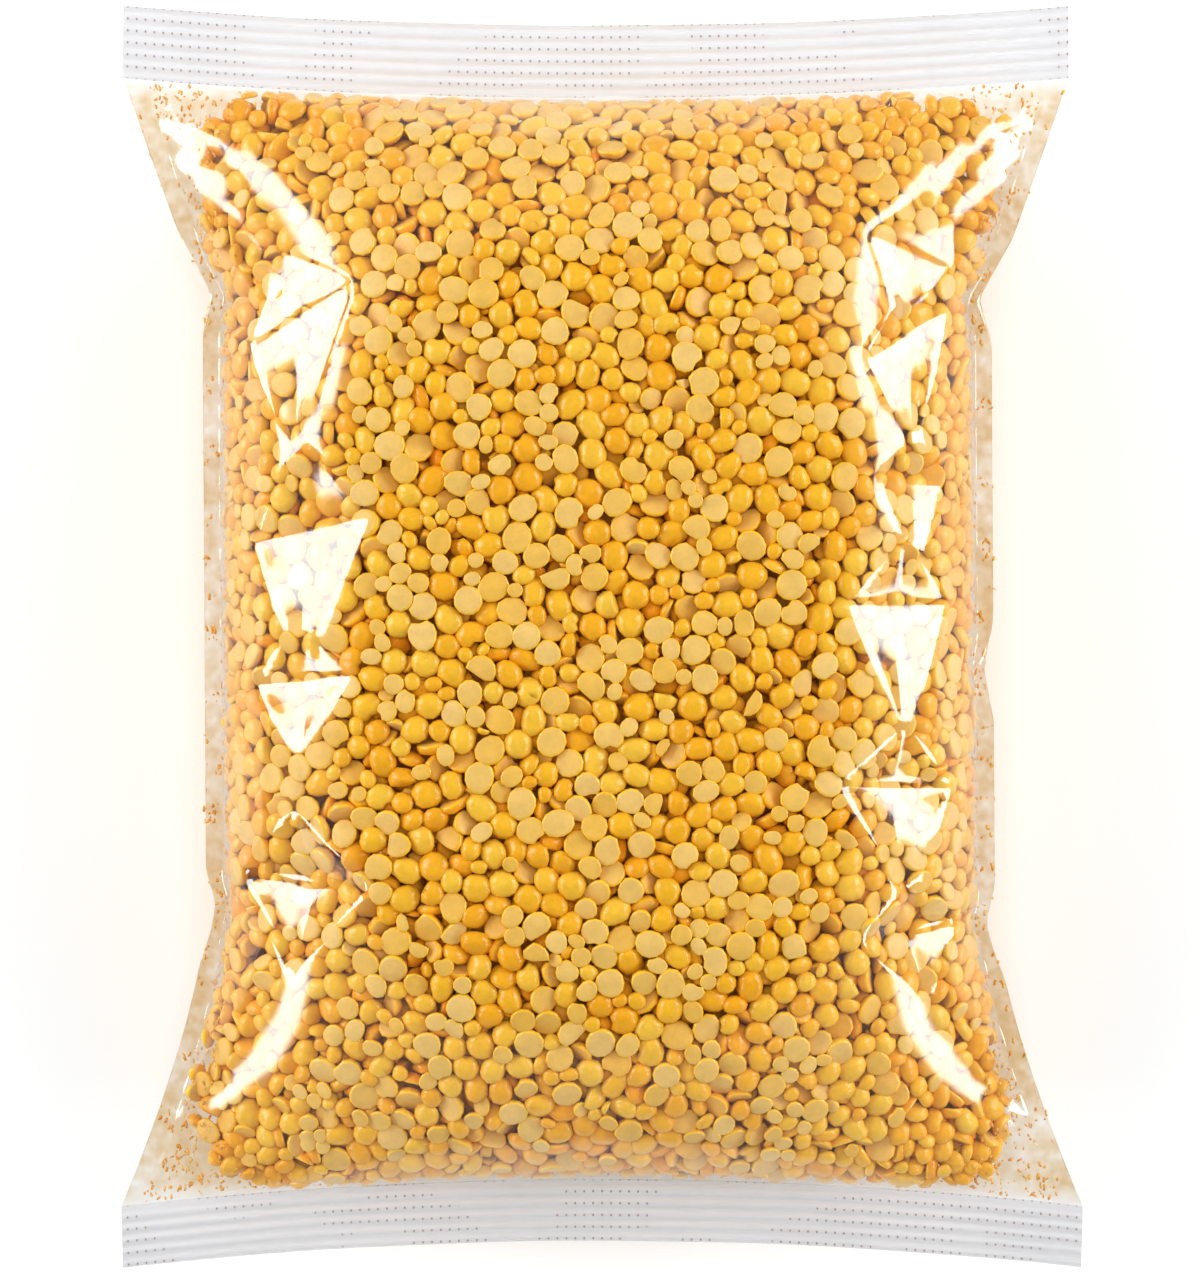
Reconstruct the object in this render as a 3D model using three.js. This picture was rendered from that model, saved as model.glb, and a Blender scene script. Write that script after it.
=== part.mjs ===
// A sealed pillow pack of dry split lentils, lying on its back.
// One tube of clear film, crimped flat at both ends, holds about a kilogram of grains.
// The pack is one closed solid: the filled body, its dented shoulders and its two ribbed end seals.
// Millimetres. +X runs across the pack, +Y along it towards the top seal, +Z up.
// The origin is on the table, under the middle of the pack.

import * as THREE from "three";

// Driving dimensions
const bodyHalfWidth = 74.7; // half the width of the filled body
const seamHeight = 23; // height of the seams above the table
const crownHeight = 31; // rise of the upper sheet above the seams
const bellyDepth = 25.6; // sag of the lower sheet below them, before the table flattens it
const filmGap = 0.6; // thickness of the welded double film
const foldWidth = 3.4; // width of the flat fold that runs down each side of the body
const upperFlatness = 3.4; // power that flattens the crown of a mid-body section; 2 is a plain arc
const lowerFlatness = 4; // the same for the belly
const edgeRoundness = 0.52; // power at a section's two edges; 0.5 is round and 1 is sharp
const lengthFlatness = 4.2; // the same two powers along the pack
const endRoundness = 0.62;
const lensStart = 0.3; // how far from the middle the sections begin to thin to a lens
const rowBunching = 0.55; // 0 spaces the body's rows evenly, 1 bunches them fully at the seams
const ribPitch = 2.3; // spacing of the ribs that the sealing jaws press
const ribDepth = 0.5; // height of a rib, from trough to crest
const waveRise = 0.9; // how far the fins ripple up and down across the pack
const waveLength = 47; // from crest to crest of that ripple

// The two ends: how far the seam is from the middle, at its centre and at its corners
const topEnd = {
  way: 1,
  halfWidth: 89.8,
  shift: -1.2,
  seamCentre: 102.2,
  seamCorner: 106.2,
  finDepth: 13.8,
  finFall: 2.2,
  cornerDrop: 5,
  flareStart: 0.62,
  flarePower: 1,
};
const bottomEnd = {
  way: -1,
  halfWidth: 91.3,
  shift: 0,
  seamCentre: 102.6,
  seamCorner: 108,
  finDepth: 12,
  finFall: 5.5,
  cornerDrop: 5,
  flareStart: 0.5,
  flarePower: 1.5,
};

// Dents where the film buckles: a straight crease from `outer` to `inner`, angles up from the pack's edge.
// y is the crease's place, slant its rise towards the inner end, up and down how far its facets reach.
const dents = [
  { side: -1, y: 61, slant: 12, outer: 0.5, inner: 0.92, up: 11, down: 27, deep: 1.15 },
  { side: -1, y: 20.5, slant: 5, outer: 0.52, inner: 0.97, up: 16, down: 27, deep: 1.15 },
  { side: -1, y: -7.5, slant: 2, outer: 0.52, inner: 0.91, up: 9, down: 14, deep: 1.1 },
  { side: -1, y: -45.5, slant: -3, outer: 0.44, inner: 0.96, up: 12, down: 17, deep: 1.5 },
  { side: 1, y: 73, slant: 6, outer: 0.5, inner: 0.88, up: 12, down: 13, deep: 1.15 },
  { side: 1, y: 57, slant: -10, outer: 0.48, inner: 0.84, up: 9, down: 22, deep: 1.15 },
  { side: 1, y: 29, slant: 0, outer: 0.5, inner: 0.8, up: 9, down: 15, deep: 1.1 },
  { side: 1, y: 6.6, slant: 0, outer: 0.5, inner: 0.9, up: 12, down: 24, deep: 1.15 },
  { side: 1, y: -27.4, slant: 1, outer: 0.47, inner: 0.93, up: 10, down: 22, deep: 1.3 },
  { side: 1, y: -55, slant: -4, outer: 0.44, inner: 0.86, up: 9, down: 12, deep: 1.7 },
  { side: -1, y: 66, slant: -4, outer: -0.45, inner: 0.5, up: 12, down: 9, deep: 0.2 },
  { side: -1, y: -50.5, slant: 4, outer: -0.45, inner: 0.5, up: 7, down: 12, deep: 0.2 },
  { side: 1, y: 64, slant: -4, outer: -0.45, inner: 0.5, up: 12, down: 9, deep: 0.25 },
  { side: 1, y: -6, slant: 2, outer: -0.4, inner: 0.45, up: 10, down: 10, deep: 0.25 },
  { side: 1, y: -54.5, slant: 3, outer: -0.45, inner: 0.5, up: 8, down: 11, deep: 0.2 },
];

// Mesh fineness
const pointsAround = 72;
const bodyRows = 42;

const clamp01 = (t) => Math.min(1, Math.max(0, t));
const mix = (a, b, t) => a + (b - a) * t;
const smooth = (t) => t * t * (3 - 2 * t);

// The smooth filled body. angle goes round the section from the +X edge over the upper sheet,
// and along runs from -1 at the bottom seam to 1 at the top seam.
// Each section is a flattened round between two flat side folds, and thins and widens to a lens at the seams.
function smoothBody(angle, along) {
  const end = along > 0 ? topEnd : bottomEnd;
  const reach = Math.abs(along);
  const across = Math.cos(angle);
  const flare = clamp01((reach - end.flareStart) / (1 - end.flareStart)) ** end.flarePower;
  const lens = smooth(clamp01((reach - lensStart) / (1 - lensStart)));
  const seam = mix(end.seamCentre, end.seamCorner, across ** 2 * reach ** 2);
  const halfWidth = mix(bodyHalfWidth, end.halfWidth, flare);
  const filled = Math.min(1, (Math.abs(across) * halfWidth) / (halfWidth - foldWidth));
  const upper = Math.sin(angle) >= 0;
  const flatness = mix(upper ? upperFlatness : lowerFlatness, 2, lens);
  const fullness = (1 - filled ** flatness) ** mix(edgeRoundness, 1, lens);
  const rise = (1 - reach ** lengthFlatness) ** endRoundness;
  const height = (upper ? crownHeight : -bellyDepth) * rise * fullness;
  const edge = (upper ? filmGap : -filmGap) / 2;
  const shift = mix(bottomEnd.shift, topEnd.shift, (along + 1) / 2);
  return new THREE.Vector3(
    halfWidth * across + shift,
    end.way * seam * reach,
    seamHeight - end.cornerDrop * flare * across ** 2 + height + edge,
  );
}

// The body with its dents. A dent pulls the film towards its straight crease, by `deep` on the crease
// and less the further from it, and the table flattens the belly.
function dentedBody(angle, along) {
  const point = smoothBody(angle, along);
  for (const dent of dents) {
    const folded = dent.side > 0 ? angle : Math.PI - angle;
    const local = folded > Math.PI ? folded - 2 * Math.PI : folded;
    const share = (local - dent.outer) / (dent.inner - dent.outer);
    if (share <= 0 || share >= 1) continue;
    const place = (at) => (dent.side > 0 ? at : Math.PI - at);
    const from = smoothBody(place(dent.outer), along);
    const to = smoothBody(place(dent.inner), along);
    const offCrease = point.y - (dent.y + dent.slant * (share - 0.5));
    const facet = (1 - Math.abs(2 * share - 1)) * (offCrease > 0 ? dent.up : dent.down);
    const pull = dent.deep * clamp01(1 - Math.abs(offCrease) / facet);
    point.lerp(from.lerp(to, share), pull);
  }
  point.z = Math.max(point.z, 0);
  return point;
}

// The flat end fin. out is the distance past the seam; the ribs run across the fin.
function finPoint(angle, end, out) {
  const across = Math.cos(angle);
  const seam = mix(end.seamCentre, end.seamCorner, across ** 2);
  const share = out / end.finDepth;
  const x = end.halfWidth * across + end.shift;
  const rib = (ribDepth / 2) * Math.cos((2 * Math.PI * out) / ribPitch) * clamp01(4 * share);
  const ripple = waveRise * Math.sin((2 * Math.PI * x) / waveLength) * share;
  const droop = end.cornerDrop * across ** 2 + end.finFall * share ** 1.5;
  const side = (Math.sin(angle) >= 0 ? filmGap : -filmGap) / 2;
  return new THREE.Vector3(x, end.way * (seam + out), seamHeight - droop + rib + ripple + side);
}

// Rings of points from the bottom edge to the top edge, each going round the pack.
function packRings() {
  const angles = Array.from({ length: pointsAround }, (_, i) => (2 * Math.PI * (i + 0.5)) / pointsAround);
  const finRings = (end) => {
    const count = Math.round(end.finDepth / (ribPitch / 2));
    const steps = Array.from({ length: count }, (_, k) => (end.finDepth * (k + 1)) / count);
    return steps.map((out) => angles.map((a) => finPoint(a, end, out)));
  };
  const body = Array.from({ length: bodyRows + 1 }, (_, k) => {
    const even = mix(-1, 1, k / bodyRows);
    const along = mix(even, Math.sin((even * Math.PI) / 2), rowBunching);
    return angles.map((a) => dentedBody(a, along));
  });
  return [...finRings(bottomEnd).reverse(), ...body, ...finRings(topEnd)];
}

// Closes the rings into one skin, with each open end zipped shut between the upper and lower film.
function closedSkin(rings) {
  const around = pointsAround;
  const faces = [];
  for (let j = 0; j + 1 < rings.length; j += 1) {
    for (let i = 0; i < around; i += 1) {
      const [a, b] = [j * around + i, j * around + ((i + 1) % around)];
      faces.push(a, a + around, b, b, a + around, b + around);
    }
  }
  const last = (rings.length - 1) * around;
  for (let i = 0; i < around / 2 - 1; i += 1) {
    const [upper, next] = [i, i + 1];
    const [lower, nextLower] = [around - 1 - i, around - 2 - i];
    faces.push(upper, next, lower, next, nextLower, lower);
    faces.push(last + upper, last + lower, last + next, last + next, last + lower, last + nextLower);
  }
  const skin = new THREE.BufferGeometry();
  const places = rings.flat().flatMap((p) => [p.x, p.y, p.z]);
  skin.setAttribute("position", new THREE.Float32BufferAttribute(places, 3));
  skin.setIndex(faces);
  skin.computeVertexNormals();
  return skin;
}

const lentilColour = new THREE.MeshStandardMaterial({ color: 0xe6ad3c, roughness: 0.35, metalness: 0 });
const pack = new THREE.Mesh(closedSkin(packRings()), lentilColour);
pack.name = "lentil_pack";

const bag = new THREE.Group();
bag.name = "bag_of_split_lentils";
bag.add(pack);

export default bag;
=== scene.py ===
import math
import bpy
import numpy as np
from mathutils import Matrix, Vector
from mathutils.bvhtree import BVHTree


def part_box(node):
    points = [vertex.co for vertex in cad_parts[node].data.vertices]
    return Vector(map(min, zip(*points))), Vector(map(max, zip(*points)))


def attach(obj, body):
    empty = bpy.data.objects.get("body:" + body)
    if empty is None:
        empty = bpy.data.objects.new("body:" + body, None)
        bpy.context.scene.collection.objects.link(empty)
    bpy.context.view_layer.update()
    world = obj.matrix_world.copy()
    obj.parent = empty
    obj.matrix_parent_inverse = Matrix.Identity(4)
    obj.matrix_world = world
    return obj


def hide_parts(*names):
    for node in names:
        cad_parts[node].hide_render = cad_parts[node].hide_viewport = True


# A sealed pillow pack of dry split lentils: a clear film with crimped ends, the lentil halves under it,
# a smaller core behind them, and the crumbs that cling inside the film. Lengths are millimetres until
# meshPiece makes them metres.
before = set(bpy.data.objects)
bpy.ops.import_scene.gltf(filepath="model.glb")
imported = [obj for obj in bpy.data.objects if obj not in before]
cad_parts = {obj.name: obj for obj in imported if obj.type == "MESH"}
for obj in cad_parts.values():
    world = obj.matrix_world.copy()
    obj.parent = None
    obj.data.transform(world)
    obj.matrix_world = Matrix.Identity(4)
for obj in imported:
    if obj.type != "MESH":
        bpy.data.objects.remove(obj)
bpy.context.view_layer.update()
packHigh = np.array(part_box("lentil_pack")[1]) * 1000
print("frame loaded")

# The pack's shape, in millimetres. Sizes come from the frame's box where they can.
pack = {
    "bodyHalfWidth": 0.819 * packHigh[0],
    "seamHeight": 23.0,
    "filmGap": 0.6,
    "foldWidth": 3.4,  # the flat fold down each side of the body
    "bellyDepth": 25.6,
    "upperFlatness": 3.4,  # powers of the section and of the long profile
    "lowerFlatness": 4.0,
    "edgeRoundness": 0.52,
    "lengthFlatness": 4.2,
    "endRoundness": 0.62,
    "lensStart": 0.3,
    "rowBunching": 0.55,
    "ribPitch": 2.3,
    "ribDepth": 0.5,
    "ribFade": 4.0,
    "waveRise": 0.9,
    "waveLength": 47.0,
    "creaseSoftness": 0.35,
}
pack["crownHeight"] = packHigh[2] - pack["seamHeight"] - pack["filmGap"] / 2
topEnd = {
    "way": 1, "halfWidth": 0.9845 * packHigh[0], "shift": -1.2, "seamCentre": 102.2, "seamCorner": 106.2,
    "finFall": 2.2, "cornerDrop": 5.0, "flareStart": 0.62, "flarePower": 1.0,
}
bottomEnd = {
    "way": -1, "halfWidth": packHigh[0], "shift": 0.0, "seamCentre": 102.6, "seamCorner": 108.0,
    "finFall": 5.5, "cornerDrop": 5.0, "flareStart": 0.5, "flarePower": 1.5,
}
for end in (topEnd, bottomEnd):
    end["finDepth"] = packHigh[1] - end["seamCorner"]

# Each dent is a straight crease between two angles up from the pack's edge:
# side, y, slant, outer angle, inner angle, reach up, reach down, depth
dents = (
    (-1, 61.0, 12.0, 0.50, 0.92, 11.0, 27.0, 1.15),
    (-1, 20.5, 5.0, 0.52, 0.97, 16.0, 27.0, 1.15),
    (-1, -7.5, 2.0, 0.52, 0.91, 9.0, 14.0, 1.1),
    (-1, -45.5, -3.0, 0.44, 0.96, 12.0, 17.0, 1.5),
    (1, 73.0, 6.0, 0.50, 0.88, 12.0, 13.0, 1.15),
    (1, 57.0, -10.0, 0.48, 0.84, 9.0, 22.0, 1.15),
    (1, 29.0, 0.0, 0.50, 0.80, 9.0, 15.0, 1.1),
    (1, 6.6, 0.0, 0.50, 0.90, 12.0, 24.0, 1.15),
    (1, -27.4, 1.0, 0.47, 0.93, 10.0, 22.0, 1.3),
    (1, -55.0, -4.0, 0.44, 0.86, 9.0, 12.0, 1.7),
    (-1, 66.0, -4.0, -0.45, 0.50, 12.0, 9.0, 0.2),
    (-1, -50.5, 4.0, -0.45, 0.50, 7.0, 12.0, 0.2),
    (1, 64.0, -4.0, -0.45, 0.50, 12.0, 9.0, 0.25),
    (1, -6.0, 2.0, -0.40, 0.45, 10.0, 10.0, 0.25),
    (1, -54.5, 3.0, -0.45, 0.50, 8.0, 11.0, 0.2),
)


def blend(a, b, t):
    return a + (b - a) * t


def clamped(t):
    return np.clip(t, 0.0, 1.0)


def smoothStep(t):
    return t * t * (3 - 2 * t)


def smoothBody(angle, along):
    # Across: half width * cos(angle). Up: crown * (1 - |along|^4.2)^0.62 * (1 - |cos|^flatness)^edge,
    # where the section thins from a flattened round to a lens, and its width flares, towards the seams.
    end = {key: np.where(along > 0, topEnd[key], bottomEnd[key]) for key in topEnd}
    reach = np.abs(along)
    across = np.cos(angle)
    upper = np.sin(angle) >= 0
    flare = clamped((reach - end["flareStart"]) / (1 - end["flareStart"])) ** end["flarePower"]
    lens = smoothStep(clamped((reach - pack["lensStart"]) / (1 - pack["lensStart"])))
    seam = blend(end["seamCentre"], end["seamCorner"], (across * reach) ** 2)
    halfWidth = blend(pack["bodyHalfWidth"], end["halfWidth"], flare)
    filled = clamped(np.abs(across) * halfWidth / (halfWidth - pack["foldWidth"]))
    flatness = blend(np.where(upper, pack["upperFlatness"], pack["lowerFlatness"]), 2.0, lens)
    fullness = (1 - filled ** flatness) ** blend(pack["edgeRoundness"], 1.0, lens)
    rise = clamped(1 - reach ** pack["lengthFlatness"]) ** pack["endRoundness"]
    height = np.where(upper, pack["crownHeight"], -pack["bellyDepth"]) * rise * fullness
    edge = np.where(upper, 0.5, -0.5) * pack["filmGap"]
    x = halfWidth * across + blend(bottomEnd["shift"], topEnd["shift"], (along + 1) / 2)
    y = end["way"] * seam * reach
    z = pack["seamHeight"] - end["cornerDrop"] * flare * across ** 2 + height + edge
    return np.stack([x, y, z], axis=-1)


def onSide(angle, side):
    # The same angle up from the right edge (+1) or the left edge (-1).
    return angle if side > 0 else math.pi - angle


def dentedBody(angle, along):
    # A dent pulls the film towards the chord between its two angles, with a weight of
    # 1 - |y off the crease| / reach, where the reach falls to nothing at the crease's two ends.
    point = smoothBody(angle, along)
    softness = pack["creaseSoftness"]
    for side, y, slant, outer, inner, up, down, deep in dents:
        local = (onSide(angle, side) + math.pi) % (2 * math.pi) - math.pi
        share = clamped((local - outer) / (inner - outer))
        start = smoothBody(onSide(outer, side) + 0 * angle, along)
        stop = smoothBody(onSide(inner, side) + 0 * angle, along)
        off = point[..., 1] - (y + slant * (share - 0.5))
        facet = (1 - np.abs(2 * share - 1)) * np.where(off > 0, up, down) + 1e-6
        soft = np.sqrt(off ** 2 + softness) - softness ** 0.5
        pull = np.where((share > 0) & (share < 1), deep * clamped(1 - soft / facet), 0.0)
        point = point + (blend(start, stop, share[..., None]) - point) * pull[..., None]
    return point


def finPoint(angle, end, out):
    # The flat end fin: ribs are a cosine of the distance past the seam, and the fin droops and ripples.
    across = np.cos(angle)
    seam = blend(end["seamCentre"], end["seamCorner"], across ** 2)
    share = out / end["finDepth"]
    x = end["halfWidth"] * across + end["shift"]
    rib = pack["ribDepth"] / 2 * np.cos(2 * math.pi * out / pack["ribPitch"])
    rib = rib * clamped(pack["ribFade"] * share)
    ripple = pack["waveRise"] * np.sin(2 * math.pi * x / pack["waveLength"]) * share
    droop = end["cornerDrop"] * across ** 2 + end["finFall"] * share ** 1.5
    side = np.where(np.sin(angle) >= 0, 0.5, -0.5) * pack["filmGap"]
    z = pack["seamHeight"] - droop + rib + ripple + side
    return np.stack([x, end["way"] * (seam + out), z], axis=-1)


def outwardNormals(grid):
    # Cross product of the steps along the rows and round them; rows close on themselves.
    aroundStep = np.roll(grid, -1, axis=1) - np.roll(grid, 1, axis=1)
    alongStep = np.gradient(grid, axis=0)
    normal = np.cross(alongStep, aroundStep)
    length = np.linalg.norm(normal, axis=-1, keepdims=True)
    return normal / np.maximum(length, 1e-9), length[..., 0]


def tubeFaces(rows, around):
    # Quads between neighbouring rows, and a zip of quads that shuts each end.
    row, col = np.meshgrid(np.arange(rows - 1), np.arange(around), indexing="ij")
    nextCol = (col + 1) % around
    wall = np.stack([row * around + col, (row + 1) * around + col,
                     (row + 1) * around + nextCol, row * around + nextCol], axis=-1).reshape(-1, 4)
    upper = np.arange(around // 2 - 1)
    lower = around - 1 - upper
    last = (rows - 1) * around
    firstZip = np.stack([upper, upper + 1, lower - 1, lower], axis=-1)
    lastZip = np.stack([lower, lower - 1, upper + 1, upper], axis=-1) + last
    return np.concatenate([wall, firstZip, lastZip])


def meshPiece(name, points, quads, triangles=None):
    # Points in millimetres become a smooth-shaded mesh in metres.
    triangles = np.zeros((0, 3), int) if triangles is None else triangles
    loops = np.concatenate([quads.ravel(), triangles.ravel()]).astype(np.int32)
    starts = np.concatenate([np.arange(len(quads)) * 4, len(quads) * 4 + np.arange(len(triangles)) * 3])
    mesh = bpy.data.meshes.new(name)
    mesh.vertices.add(len(points))
    mesh.vertices.foreach_set("co", (points * 0.001).astype(np.float32).ravel())
    mesh.loops.add(len(loops))
    mesh.loops.foreach_set("vertex_index", loops)
    mesh.polygons.add(len(starts))
    mesh.polygons.foreach_set("loop_start", starts.astype(np.int32))
    mesh.update(calc_edges=True)
    mesh.validate()
    mesh.polygons.foreach_set("use_smooth", np.ones(len(mesh.polygons), bool))
    piece = bpy.data.objects.new(name, mesh)
    bpy.context.scene.collection.objects.link(piece)
    return piece


def pointValues(piece, name, values):
    layer = piece.data.attributes.new(name, "FLOAT", "POINT")
    layer.data.foreach_set("value", np.asarray(values, np.float32).ravel())


film = {
    "around": 336,
    "bodyRows": 176,
    "rowsPerRib": 6,
    "bodyReach": 104.0,  # from the middle to a seam
    "seamHold": 40.0,  # the wrinkles stop within 1/40 of that from the seam
    "puckerDepth": 0.32,  # wrinkles that run from the seams into the body
    "puckerReach": 7.0,
    "puckerLength": 6.5,
    "pinchReach": 9.0,
    "finPinch": 0.6,
    "sideDepth": 0.3,  # small creases over the pack's sides
    "sideLength": 9.0,
    "sideAt": 0.93,  # where the sides are, as |cos(angle)|
    "sideSpread": 0.12,
    "ridgeWaves": 5,
    "ridgeTurn": 0.22,
    "ridgePitch": (0.7, 1.5),
    "ridgeMean": 0.36,
    "roughness": 0.09,
    "mirrorIndex": 1.85,  # both faces of the film reflect, so this is above the plastic's own 1.5
    "weldHaze": 0.38,
    "dustRoom": 11.0,  # lentil dust tints the film where the pack is lower than this
    "dustTop": 1.4,
    "dustHold": 30.0,
    "dotPitch": 1.7,  # the crimping jaws leave rows of small dots
    "dotSize": 0.24,
}
# Pinches where the film gathers at a seal: end, x, depth, half width
pinches = (
    (topEnd, -35.0, 0.9, 1.3), (topEnd, 0.7, 1.3, 1.6), (topEnd, 29.5, 1.0, 1.4), (topEnd, 62.0, 0.5, 1.2),
    (bottomEnd, -17.0, 0.9, 1.4), (bottomEnd, -1.0, 1.2, 1.5), (bottomEnd, 46.0, 0.6, 1.3),
)


def ridges(x, y, length, stretch, seed):
    # Sharp-crested wrinkles: the mean of 1 - |sin| of waves in a few near directions, about 0 on average.
    rng = np.random.default_rng(seed)
    total = 0
    for _ in range(film["ridgeWaves"]):
        turn = rng.normal(0, film["ridgeTurn"])
        pitch = length * rng.uniform(*film["ridgePitch"])
        lean = x * math.cos(turn) + y * math.sin(turn) * stretch
        wave = np.abs(np.sin(math.pi * lean / pitch + rng.uniform(0, math.pi)))
        total = total + film["ridgeMean"] - wave
    return total / film["ridgeWaves"]


def pinchDepth(end, x, share):
    # Sharp grooves: the sum of depth * exp(-|x off| / half width), with the share of it at each point.
    return sum(depth * np.exp(-np.abs(x - place) / (width * (0.6 + share)))
               for which, place, depth, width in pinches if which is end) * share


def filmGrid():
    # The film as rows round the pack, from the bottom fin over the body to the top fin.
    angle = 2 * math.pi * (np.arange(film["around"]) + 0.5) / film["around"]
    even = np.linspace(-1, 1, film["bodyRows"] + 1)
    along = blend(even, np.sin(even * math.pi / 2), pack["rowBunching"])
    angles, alongs = np.meshgrid(angle, along)
    body = dentedBody(angles, alongs)
    normal, _ = outwardNormals(body)
    fromSeam = 1 - np.abs(alongs)
    seamNear = np.exp(-fromSeam * film["bodyReach"] / film["puckerReach"])
    seamNear = seamNear * clamped(fromSeam * film["seamHold"])
    pucker = ridges(body[..., 0], body[..., 1], film["puckerLength"], 0.25, 3) * film["puckerDepth"]
    sideNear = np.exp(-((np.abs(np.cos(angles)) - film["sideAt"]) / film["sideSpread"]) ** 2)
    crease = ridges(body[..., 1], body[..., 0] + body[..., 2], film["sideLength"], 0.8, 5)
    crease = crease * film["sideDepth"]
    topGather = pinchDepth(topEnd, body[..., 0], 1.0)
    bottomGather = pinchDepth(bottomEnd, body[..., 0], 1.0)
    gather = np.where(alongs > 0, topGather, bottomGather) * np.where(np.sin(angles) > 0, 1, -1)
    gather = gather * np.exp(-fromSeam * film["bodyReach"] / film["pinchReach"])
    body = body + normal * (pucker * seamNear + crease * sideNear)[..., None]
    body[..., 2] = np.maximum(body[..., 2] - gather * (np.abs(alongs) < 1), 0.0)
    fins = []
    for end in (bottomEnd, topEnd):
        count = round(end["finDepth"] / pack["ribPitch"] * film["rowsPerRib"])
        out = end["finDepth"] * np.arange(1, count + 1) / count
        finAngles, outs = np.meshgrid(angle, out)
        fin = finPoint(finAngles, end, outs)
        fade = clamped(1.3 - outs / end["finDepth"]) * film["finPinch"]
        fin[..., 2] -= pinchDepth(end, fin[..., 0], fade)
        fins.append((fin, outs))
    (bottomFin, bottomOut), (topFin, topOut) = fins
    grid = np.concatenate([bottomFin[::-1], body, topFin])
    past = np.concatenate([bottomOut[::-1], 0 * alongs, topOut])
    room = np.abs(body[..., 2] - body[:, ::-1, 2])  # the height of the pack at each point
    dusty = clamped(film["dustTop"] - room / film["dustRoom"]) * clamped(fromSeam * film["dustHold"])
    dust = np.concatenate([0 * bottomOut, dusty, 0 * topOut])
    return body, grid, past, dust


bodyGrid, wholeGrid, pastSeam, dust = filmGrid()
rows, around = wholeGrid.shape[:2]
filmPiece = meshPiece("clearFilm", wholeGrid.reshape(-1, 3), tubeFaces(rows, around))
pointValues(filmPiece, "pastSeam", pastSeam)
pointValues(filmPiece, "dust", dust)
print("film made:", rows, "rows of", around)

halves = {
    "count": 9800,
    "radius": (2.5, 3.05),
    "smallRadius": (1.45, 2.4),
    "smallShare": 0.36,
    "shell": (1.5, 8.0),  # how deep under the film they start
    "keepDepth": 7.0,  # deeper ones can't be seen, and the core stands for them
    "clearance": 0.35,  # left under the film once they have settled
    "scatter": 0.8,
    "steps": 100,
    "pairSteps": 5,  # the pairs that may touch are found again after this many steps
    "pairReach": 6.3,
    "press": 0.10,  # outward push at each step, times the start less the fade
    "pressStart": 1.25,
    "pressFade": 1.3,
    "spare": 0.08,
    "contact": 0.8,  # within this of the film a half turns to lie along it
    "turn": 0.05,
    "closeness": 0.95,  # of the distance at which two halves touch
    "part": 0.42,  # of an overlap is undone at each step, by each of the two
    "slack": 0.25,
    "outwardShare": 0.9,
    "tumble": 0.75,  # how far they start turned at random
    "flatShare": 0.56,  # of them turn their flat face to the film
    "sides": 12,
    "deepSides": 8,
    "edgeRoom": 1.2,  # spare height that a half needs between the two sides of the film
    "lumps": 0.04,
    "waves": 0.05,
    "flatOblong": 0.10,
    "oblong": 0.16,
    "thickness": (0.88, 1.12),
    "saddle": 0.05,
    "lean": 0.07,
    "dimple": 0.06,
    "notchShare": 0.22,  # of them have a nick in the rim
    "notchDepth": (0.12, 0.3),
    "breakAt": (0.1, 0.8),
    "outerDepth": 3.6,  # the depth of the middle of a half that shows
    "deeperDepth": 4.6,
    "deepestDepth": 5.7,
    # the painted shade and warm glow of deeper halves start at this depth and are full this much deeper
    "sunkFrom": 1.9,
    "sunkSpan": 3.0,
    "faceOn": 0.5,
    "smallBelow": 2.45,
    "brokenShare": 0.06,
}
# A half's outline from the middle of its flat face, over the rim, round the dome: radius, height, flatness
profile = np.array([
    (0.80, 0.430, 1.0),
    (0.94, 0.385, 0.5),
    (1.00, 0.190, 0.0),
    (0.87, -0.140, 0.0),
    (0.50, -0.370, 0.0),
])
flatCentre, domeCentre = 0.405, -0.44
deepProfile = profile[[0, 2, 3, 4]]


def support(cosine):
    # How far a half of radius 1 reaches along a direction at this cosine to the flat face's normal.
    sine = np.sqrt(clamped(1 - cosine ** 2))
    reach = np.maximum(flatCentre * cosine, domeCentre * cosine)
    for radius, height, _ in profile:
        reach = np.maximum(reach, radius * sine + height * cosine)
    return reach


def closePairs(centres, reach):
    # Pairs nearer than reach, by sorting the centres into cubic cells and looking in the next cells.
    cells = np.floor(centres / reach).astype(np.int64)
    cells = cells - cells.min(axis=0) + 1
    size = cells.max(axis=0) + 2
    key = (cells[:, 0] * size[1] + cells[:, 1]) * size[2] + cells[:, 2]
    order = np.argsort(key, kind="stable")
    inOrder = key[order]
    first, second = [], []
    for step in range(14):  # the cell itself, then 13 of its 26 neighbours
        dx, dy, dz = np.array(np.unravel_index(step + 13, (3, 3, 3))) - 1
        offset = (dx * size[1] + dy) * size[2] + dz
        low = np.searchsorted(inOrder, key + offset, "left")
        number = np.searchsorted(inOrder, key + offset, "right") - low
        one = np.repeat(np.arange(len(key)), number)
        within = np.arange(number.sum()) - np.repeat(np.cumsum(number) - number, number)
        other = order[np.repeat(low, number) + within]
        keep = one < other if step == 0 else one != other
        first.append(one[keep])
        second.append(other[keep])
    first, second = np.concatenate(first), np.concatenate(second)
    near = np.linalg.norm(centres[first] - centres[second], axis=1) < reach
    return first[near], second[near]


def scatterSum(index, vectors, count):
    return np.stack([np.bincount(index, vectors[:, axis], count) for axis in range(3)], axis=1)


def unit(vectors):
    return vectors / np.maximum(np.linalg.norm(vectors, axis=1, keepdims=True), 1e-9)


def nearestFilm(tree, centres):
    found = [tree.find_nearest(centre) for centre in centres.tolist()]
    return np.array([hit[0] for hit in found]), np.array([hit[1] for hit in found])


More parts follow.
